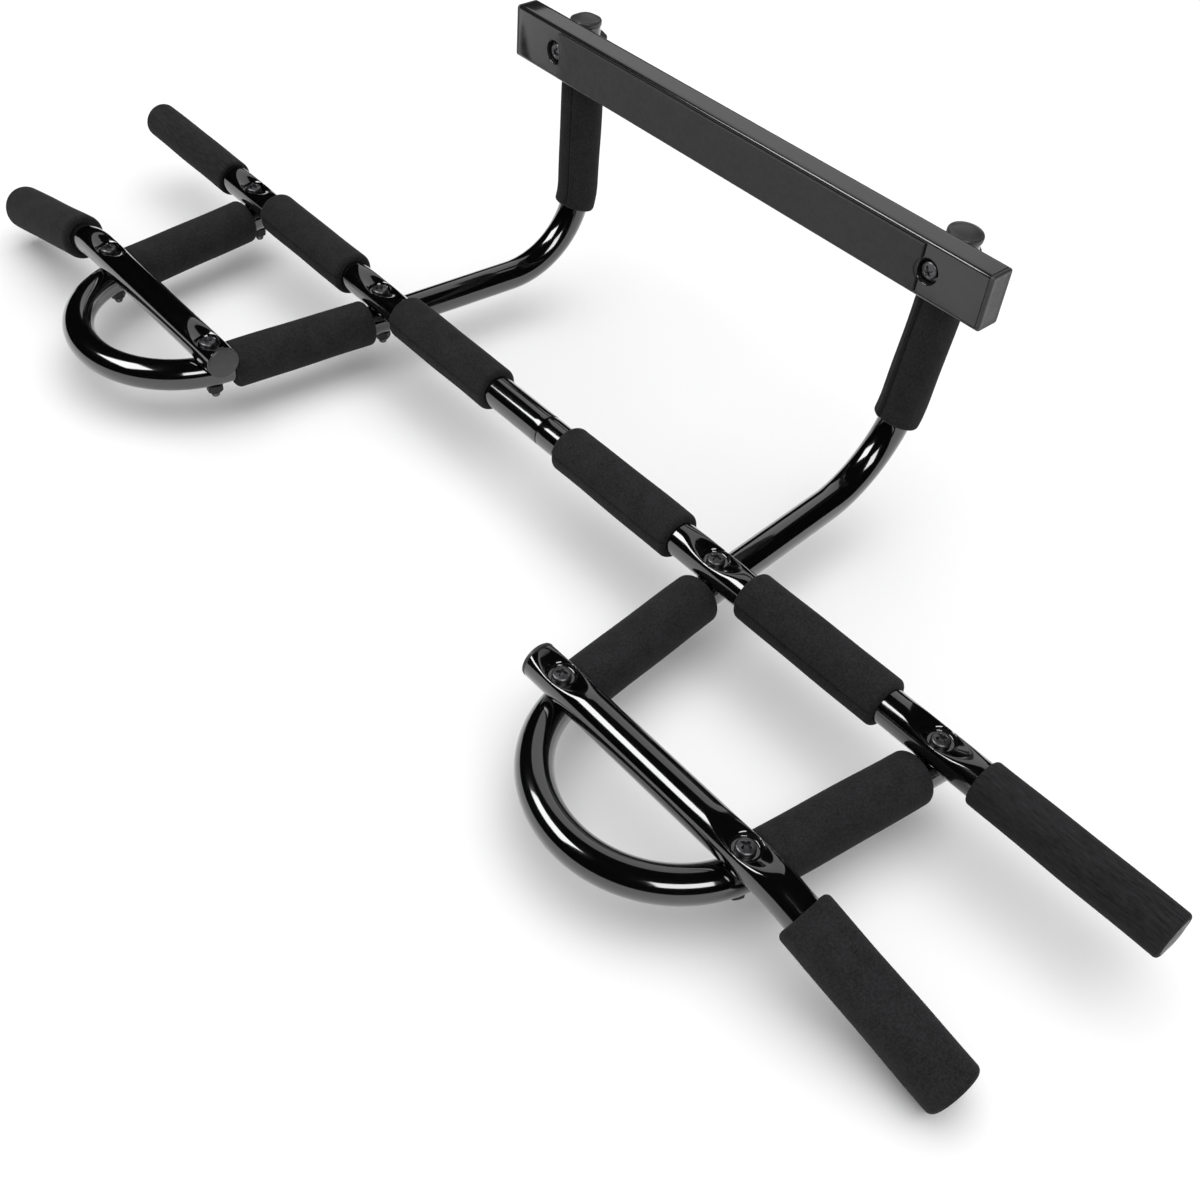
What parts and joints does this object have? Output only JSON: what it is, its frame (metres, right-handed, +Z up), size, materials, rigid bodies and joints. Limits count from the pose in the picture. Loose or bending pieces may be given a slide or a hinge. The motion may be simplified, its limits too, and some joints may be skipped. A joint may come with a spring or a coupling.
{
  "type": "pull up bar",
  "caption": "Doorway pull-up bar: a long tube with foam grips, two looped side arms with angled grips, and arms rising to a padded crossbar that hooks over the door trim.",
  "frame": {"origin": "middle of the underside of the bounding box, below the middle of the bar", "axes": "+X along the main bar to its right-hand end as a user faces the doorway, +Y from the user through the doorway to the crossbar, +Z up"},
  "size_m": [0.967, 0.3854, 0.2143],
  "materials": {
    "black_enamel": "gloss black enamel on steel tube",
    "bare_steel": "plain oiled steel",
    "foam": "matte closed-cell foam",
    "plastic": "satin moulded plastic",
    "zinc_black": "black zinc-plated steel"
  },
  "bodies": {
    "root": {"main_bar_left": "black_enamel", "main_bar_right": "black_enamel", "main_bar_spigot": "bare_steel", "loop_arm_left": "black_enamel", "loop_arm_right": "black_enamel", "short_bar_left": "black_enamel", "short_bar_right": "black_enamel", "crossbar": "black_enamel", "crossbar_wall_pad": "foam", "crossbar_cap_left": "plastic", "crossbar_cap_right": "plastic", "centre_grip_left": "foam", "centre_grip_right": "foam", "outer_grip_left": "foam", "outer_grip_right": "foam", "end_grip_left": "foam", "end_grip_right": "foam", "inner_leg_grip_left": "foam", "inner_leg_grip_right": "foam", "outer_leg_grip_left": "foam", "outer_leg_grip_right": "foam", "short_bar_grip_left": "foam", "short_bar_grip_right": "foam", "arm_sleeve_left": "foam", "arm_sleeve_right": "foam", "main_bar_plug_left": "plastic", "main_bar_plug_right": "plastic", "short_bar_inner_plug_left": "plastic", "short_bar_inner_plug_right": "plastic", "short_bar_outer_plug_left": "plastic", "short_bar_outer_plug_right": "plastic", "leg_end_plug_left": "plastic", "leg_end_plug_right": "plastic", "arm_top_cap_left": "plastic", "arm_top_cap_right": "plastic", "main_bar_bolts": "zinc_black", "main_bar_washers": "zinc_black", "main_bar_nuts": "zinc_black", "short_bar_bolts": "zinc_black", "short_bar_washers": "zinc_black", "short_bar_nuts": "zinc_black", "crossbar_bolts": "zinc_black", "crossbar_washers": "zinc_black", "crossbar_nuts": "zinc_black"}
  },
  "joints": []
}
